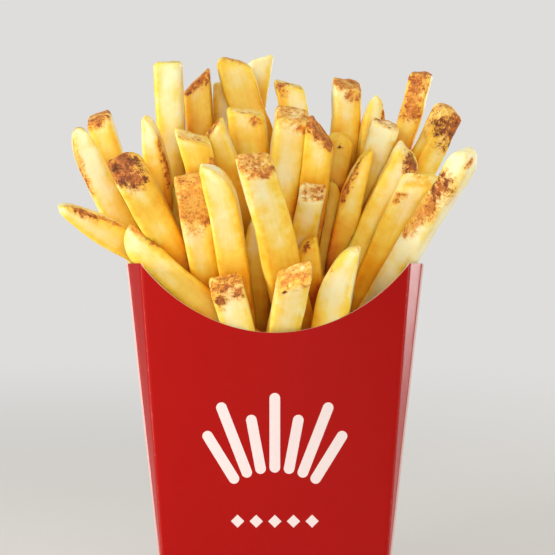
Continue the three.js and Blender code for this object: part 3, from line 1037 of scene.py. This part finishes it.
def insideBoard(p):
    # keeps a point inside the part's box and, below the rim, clear of the panels
    for k in range(3):
        p[k] = clamped(p[k], cadBox[0][k] / mm + room["box"], cadBox[1][k] / mm - room["box"])
    if p.z > archHeight(p.x) + room["overArch"]:
        return p
    clear = carton["board"] + room["board"]
    frontY, foldY, backY = [sizeAt(name, p.z) for name in ("frontY", "foldY", "backY")]
    frontHalf, foldHalf, backHalf = [sizeAt(name, p.z) for name in ("frontHalf", "foldHalf", "backHalf")]
    if p.z < sideHeight(p.y) + room["overRim"]:
        half = mixed(frontHalf, foldHalf, clamped((p.y - frontY) / (foldY - frontY), 0, 1))
        half = mixed(half, backHalf, clamped((p.y - foldY) / (backY - foldY), 0, 1))
        half -= clear + room["corner"]
        p.x = clamped(p.x, -half, half)
    if abs(p.x) < backHalf:
        bulge = 1 - (p.x / backHalf) ** 2
        p.y = min(p.y, backY + sizeAt("backBow", p.z) * bulge - clear)
    if abs(p.x) < frontHalf and p.z < scoopHeight(p.x) + room["overRim"]:
        bulge = 1 - (p.x / frontHalf) ** 2
        p.y = max(p.y, frontY - sizeAt("frontBow", p.z) * bulge + clear)
    return p


# What the heap's material reads from each vertex
heapData = {
    "browned": [],
    "charred": [],
    "tone": [],
    "ridge": [],
    "sideways": [],
    "inward": [],
    "along": [],
}


def noteVertex(**values):
    for name, line in heapData.items():
        line.append(values.get(name, 0))


def lowForm(name, place, seed=Vector((0, 0, 0))):
    height, size = relief[name]
    return height * noise.noise(place / size + seed)


def addFry(build, f, index, random):
    tip = seenAt(*f["tip"], f["tipY"])
    root = seenAt(*f["root"], f["rootY"])
    axis = (tip - root).normalized()
    away = Vector((0, 1, 0))
    away = (away - axis * away.dot(axis)).normalized()
    roll = stick["rollSwing"] * math.sin(stick["rollStep"] * index) if f["roll"] is None else f["roll"]
    away = Matrix.Rotation(math.radians(roll), 3, axis) @ away
    right = away.cross(axis)
    length = (tip - root).length
    shown = math.hypot(f["tip"][0] - f["low"][0], f["tip"][1] - f["low"][1])
    cornerShare = mixed(*stick["cornerShare"], next(random))
    endRadius = mixed(*stick["endRadius"], next(random))
    hollow = mixed(*stick["hollow"], next(random))
    seed = Vector((next(random), next(random), next(random))) * stick["seedSpread"]
    f["placed"] = placeStains(f, random)
    size = stick["noiseLength"]
    rings = []
    for distance, inset, faceShare, tilt in ringPlan(f, endRadius):
        left = widthLeft(f, distance)
        sway = 1 + stick["sway"] * noise.noise(seed + Vector((distance / size["sway"], 0, 0)))
        halfWide = f["face"] / 2 * left * sway
        halfThick = f["thick"] / 2 * mixed(stick["thinnest"], 1, left) * (2 - sway)
        smaller = min(halfWide, halfThick)
        trim = min(inset, stick["trimMost"] * smaller)
        corner = max(cornerShare * smaller - trim, stick["leastCorner"])
        s = distance / length
        pushed = f["taper"][1] * (1 - left) * f["wide"] / 2
        middle = tip.lerp(root, s) + right * (f["bow"] * 4 * s * (1 - s) + pushed)
        loose = stick["wobble"] * smoothStep(*stick["wobbleFrom"], distance)
        middle += right * loose * noise.noise(seed + Vector((0, distance / size["wobble"], 0)))
        middle += away * loose * noise.noise(seed + Vector((0, 0, distance / size["wobble"])))
        slant = max(0, 1 - distance / f["wide"])
        ring = []
        section = sectionPoints(halfWide - trim, halfThick - trim, corner, hollow * left)
        for u, v, outU, outV, edge in section:
            u, v = u * faceShare, v * faceShare
            rise = f["cut"][0] * u + f["cut"][1] * v
            rise += stick["endRough"] * noise.noise(seed + Vector((u, v, 0)) / size["endRough"])
            p = middle + right * u + away * v + axis * rise * slant
            out = (right * outU + away * outV) * math.cos(tilt) + axis * math.sin(tilt)
            amount, dark = stainAt(f, u + pushed, v, distance, halfThick)
            crust = smoothStep(*relief["crustAt"], amount + lowForm("ragged", p, seed))
            blister = lowForm("blister", p, seed) + abs(lowForm("pimple", p)) - relief["sunk"]
            p = p + out * (lowForm("lump", p) + lowForm("ripple", p) + crust * blister)
            ring.append(build.verts.new(insideBoard(p)))
            # its tone holds painted shade that deepens towards the low point
            noteVertex(
                browned=amount,
                charred=dark,
                tone=f["tone"] + f["glow"] * smoothStep(*stick["lowShadeFrom"], distance / shown),
                ridge=max(edge, math.sin(tilt) if faceShare == 1 else 0),
                sideways=u * mm,
                inward=v * mm,
                along=(distance + stick["fibreShift"] * index) * mm,
            )
        rings.append(ring)
    joinRings(build, rings)


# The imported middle, which only shows as shadow between the fries
core = {
    "levels": ((1.6, 1), (20, 1), (40, 1), (60, 1), (76, 1), (80, 0.96), (82, 0.7), (83, 0.35)),
    "across": 0.985,  # its share of the carton's inside
    "deep": 0.97,
    "lumps": 1.2,
    "lumpSize": 6,
    "lumpsFrom": 70,
    "tone": 0.9,
}


def addCore(build):
    rings = []
    for height, share in core["levels"]:
        outline = wholePlan(frontPlan(height)[2:], "front") + wholePlan(backPlan(height), "back")[1:-1]
        lumps = core["lumps"] if height > core["lumpsFrom"] else 0
        ring = []
        for p in outline:
            z = height + lumps * noise.noise(Vector((p.x, p.y, height)) / core["lumpSize"])
            spot = Vector((p.x * share * core["across"], p.y * share * core["deep"], z))
            ring.append(build.verts.new(insideBoard(spot)))
            noteVertex(tone=core["tone"])
        rings.append(ring)
    joinRings(build, rings)


enclosure = {
    "reach": 26,
    "lowest": 78,  # everything under this counts as enclosed
    "start": 0.35,  # above the surface
    "rays": ((25, 4), (55, 6), (78, 6)),  # degrees from the surface's normal, and how many
}


def measureEnclosed(build):
    # how closely other fries surround each vertex that shows, from 0 to 1, which sets the painted shade in
    # the crevices
    tree = BVHTree.FromBMesh(build)
    build.normal_update()
    reach = enclosure["reach"]
    directions = []
    for degrees, count in enclosure["rays"]:
        lean = math.radians(degrees)
        for k in range(count):
            turn = math.radians(360 * k / count + degrees)
            flat = math.sin(lean)
            directions.append((math.cos(turn) * flat, math.sin(turn) * flat, math.cos(lean)))
    enclosed = []
    for vert in build.verts:
        if vert.co.z < enclosure["lowest"]:
            enclosed.append(1.0)
            continue
        normal = vert.normal
        side = normal.orthogonal().normalized()
        other = normal.cross(side)
        start = vert.co + normal * enclosure["start"]
        total = 0.0
        for x, y, z in directions:
            distance = tree.ray_cast(start, side * x + other * y + normal * z, reach)[3]
            if distance is not None:
                total += 1 - distance / reach
        enclosed.append(total / len(directions))
    return enclosed


potato = {
    "flesh": [
        (0.0, tint(254, 240, 196)),
        (0.3, tint(248, 213, 84)),
        (0.58, tint(238, 178, 28)),
        (0.82, tint(228, 142, 24)),
        (1.0, tint(192, 94, 22)),
    ],
    "crust": [
        (0.0, tint(248, 196, 92)),
        (0.25, tint(232, 160, 66)),
        (0.5, tint(202, 120, 48)),
        (0.75, tint(152, 82, 32)),
        (1.0, tint(108, 56, 24)),
    ],
    "halo": tint(238, 180, 62),
    "toneShare": 0.4,  # how much of the flesh's colours a tone of 1 runs through
    "cloudy": 0.4,
    "fibrous": 0.14,
    "goldEdge": (-0.1, 0.42),
    # painted shade in the crevices between the fries
    "creviceShade": 0.6,
    "roughness": (0.26, 0.5),
    "shine": 0.32,
    "glow": 0.85,
    "glowColour": (1.0, 0.78, 0.36),
    "glowDepth": 3.2,  # how far light travels under the surface
}


def friedPotato():
    material, tree, shader = newMaterial("fried_potato")
    where = addNode(tree, "TexCoord", {}).outputs["Object"]
    browned, charred, tone, ridge, enclosed, sideways, inward, along = [
        readAttribute(tree, name)
        for name in ("browned", "charred", "tone", "ridge", "enclosed", "sideways", "inward", "along")
    ]
    soft = noiseAt(tree, where, 10, 3, 0.55)
    patchy = noiseAt(tree, where, 3.2, 4, 0.6)
    fine = noiseAt(tree, where, 1.2, 4, 0.65)
    grain = noiseAt(tree, where, 0.45, 3, 0.6)
    lengthwise = {"X": sideways, "Y": inward, "Z": times(tree, along, 0.08)}
    fibre = noiseAt(tree, addNode(tree, "CombineXYZ", lengthwise).outputs[0], 1.6, 4, 0.65)

    def swing(texture, amount):
        return spread(tree, texture, -amount, amount)

    # pale flesh, more amber along the edges, and painted shade: deeper amber where other fries close round
    # it
    warm = addUp(tree, times(tree, tone, potato["toneShare"]), swing(soft, potato["cloudy"]))
    warm = addUp(tree, warm, swing(fibre, potato["fibrous"]))
    warm = addUp(tree, warm, times(tree, ridge, spread(tree, patchy, *potato["goldEdge"])))
    paintedShade = times(tree, calc(tree, "POWER", enclosed, 1.9), potato["creviceShade"])
    warm = calc(tree, "ADD", warm, paintedShade, clamp=True)
    flesh = colourRamp(tree, warm, potato["flesh"])

    # the edge of a crust is ragged, and a golden halo runs ahead of it
    ragged = addUp(tree, swing(grain, 0.25), swing(patchy, 0.7), swing(fine, 0.7))
    ragged = times(tree, ragged, spread(tree, softStep(tree, browned, 0.05, 0.35), 0.3, 1.0))
    ragged = addUp(tree, ragged, browned)
    halo = softStep(tree, ragged, 0.05, 0.5)
    crust = softStep(tree, ragged, 0.36, 0.7)
    golden = blend(tree, times(tree, halo, 0.8), flesh, potato["halo"])

    # it is darker in spots, along its rim and in small pits
    rim = minus(tree, crust, softStep(tree, ragged, 0.6, 0.85))
    depth = addUp(tree, charred, swing(patchy, 0.75), swing(fine, 0.7), swing(grain, 0.4))
    depth = addUp(tree, depth, times(tree, rim, 0.12))
    pits = softStep(tree, cellsAt(tree, where, 1.3), 0.36, 0.14)
    depth = calc(tree, "ADD", depth, times(tree, pits, 0.25), clamp=True)
    rough = spread(tree, fine, *potato["roughness"])

    skin = bumped(tree, addUp(tree, patchy, times(tree, fine, 0.35)), 0.3, 0.5)
    skin = bumped(tree, fibre, 0.22, 0.3, skin)
    blisters = times(tree, cellsAt(tree, where, 1.5, "SMOOTH_F1"), -1.2)
    blisters = addUp(tree, blisters, addUp(tree, fine, times(tree, grain, 0.4)))
    dress(tree, shader, {
        "Base Color": blend(tree, crust, golden, colourRamp(tree, depth, potato["crust"])),
        "Roughness": addUp(tree, rough, times(tree, crust, 0.1), times(tree, enclosed, 0.35)),
        "Subsurface Weight": potato["glow"],
        "Subsurface Radius": potato["glowColour"],
        "Subsurface Scale": potato["glowDepth"] * mm,
        "Specular IOR Level": potato["shine"],
        "Normal": bumped(tree, times(tree, blisters, crust), 0.8, 0.7, skin),
    })
    return material


def addHeap():
    planted = []
    for row, line in enumerate(heapRows + backRows()):
        planted += [plantFry(row, f) for f in line]
    settleHeap(planted)
    print("fries settled")
    for f, tipY, rootY in deepFries:
        plantFry(0, f)
        f["tipY"], f["rootY"] = tipY, rootY
        planted.append(f)
    build = bmesh.new()
    random = randomFrom(stick["seed"])
    addCore(build)
    for index, f in enumerate(planted):
        addFry(build, f, index, random)
    bmesh.ops.triangulate(build, faces=[face for face in build.faces if len(face.verts) > 4])
    heapData["enclosed"] = measureEnclosed(build)
    print("heap has", sum(len(face.verts) - 2 for face in build.faces), "triangles")
    piece = addPiece("fries_heap", build, [friedPotato()], list(heapData.items()))
    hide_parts("fries")


addHeap()
print("fries built")

# Plain studio: a pale floor that fades into a pale surround, and large soft lights
studio = {
    "floor": tint(232, 230, 226),
    "floorGrain": tint(226, 224, 219),
    "surround": tint(222, 221, 219),
    "surroundLight": 0.44,  # how much of the surround lights the object
    "fadeFrom": 0.16,  # metres
    "fadeTo": 0.85,
    "lampsAimAt": (0, 0, 0.1),
}

# Places and sizes in metres
lamps = {
    "key": {"at": (-0.55, -1.0, 0.65), "size": 0.45, "power": 4.05, "colour": (1, 0.98, 0.95)},
    "front": {"at": (0.15, -1.3, 0.24), "size": 0.4, "power": 4.2, "colour": (1, 0.98, 0.95)},
    "top": {"at": (0.1, 0.15, 1.1), "size": 0.5, "power": 2.2, "colour": (1, 0.99, 0.97)},
    "sideLeft": {"at": (-1.0, -0.3, 0.25), "size": 0.4, "power": 8.0, "colour": (1, 0.98, 0.96)},
    "sideRight": {"at": (1.0, -0.2, 0.25), "size": 0.4, "power": 2.8, "colour": (1, 0.98, 0.96)},
    "rimRight": {"at": (0.62, 0.8, 0.16), "size": 0.4, "power": 3.3, "colour": (1, 0.98, 0.96)},
}


def addFloor():
    build = bmesh.new()
    bmesh.ops.create_circle(build, cap_ends=True, radius=9, segments=96)
    mesh = bpy.data.meshes.new("studio_floor")
    build.to_mesh(mesh)
    build.free()
    material, tree, shader = newMaterial("studio_paper")
    where = addNode(tree, "TexCoord", {}).outputs["Object"]
    grain = noiseAt(tree, where, 30, 4, 0.6)
    shade = blend(tree, spread(tree, grain, 0.0, 0.3), studio["floor"], studio["floorGrain"])
    dress(tree, shader, {"Base Color": shade, "Roughness": 0.9, "Specular IOR Level": 0.1})
    reach = addNode(tree, "VectorMath", {0: where}, operation="LENGTH").outputs["Value"]
    clear = addNode(tree, "BsdfTransparent", {}).outputs[0]
    fade = softStep(tree, reach, studio["fadeFrom"], studio["fadeTo"])
    mixer = addNode(tree, "MixShader", {0: fade, 1: shader.outputs[0], 2: clear})
    output = next(n for n in tree.nodes if n.bl_idname == "ShaderNodeOutputMaterial")
    tree.links.new(mixer.outputs[0], output.inputs["Surface"])
    mesh.materials.append(material)
    floor = linkObject(bpy.data.objects.new("studio_floor", mesh))


def lightStudio():
    world = bpy.data.worlds.new("studio")
    bpy.context.scene.world = world
    world.use_nodes = True
    tree = world.node_tree
    tree.nodes.clear()
    path = addNode(tree, "LightPath", {})
    strength = spread(tree, path.outputs["Is Camera Ray"], studio["surroundLight"], 1.0)
    background = addNode(tree, "Background", {"Color": studio["surround"], "Strength": strength})
    output = tree.nodes.new("ShaderNodeOutputWorld")
    tree.links.new(background.outputs[0], output.inputs[0])
    target = Vector(studio["lampsAimAt"])
    for name, lamp in lamps.items():
        lampData = bpy.data.lights.new(name, "AREA")
        lampData.size = lamp["size"]
        lampData.energy = lamp["power"]
        lampData.color = lamp["colour"]
        light = linkObject(bpy.data.objects.new(name, lampData))
        light.location = lamp["at"]
        light.rotation_mode = "QUATERNION"
        light.rotation_quaternion = (target - Vector(lamp["at"])).to_track_quat("-Z", "Y")
        light.visible_camera = False
    bpy.context.scene.view_settings.view_transform = "Standard"


addFloor()
lightStudio()
print("studio lit")

print("cad box  ", [[round(c * 1000, 1) for c in corner] for corner in cadBox])
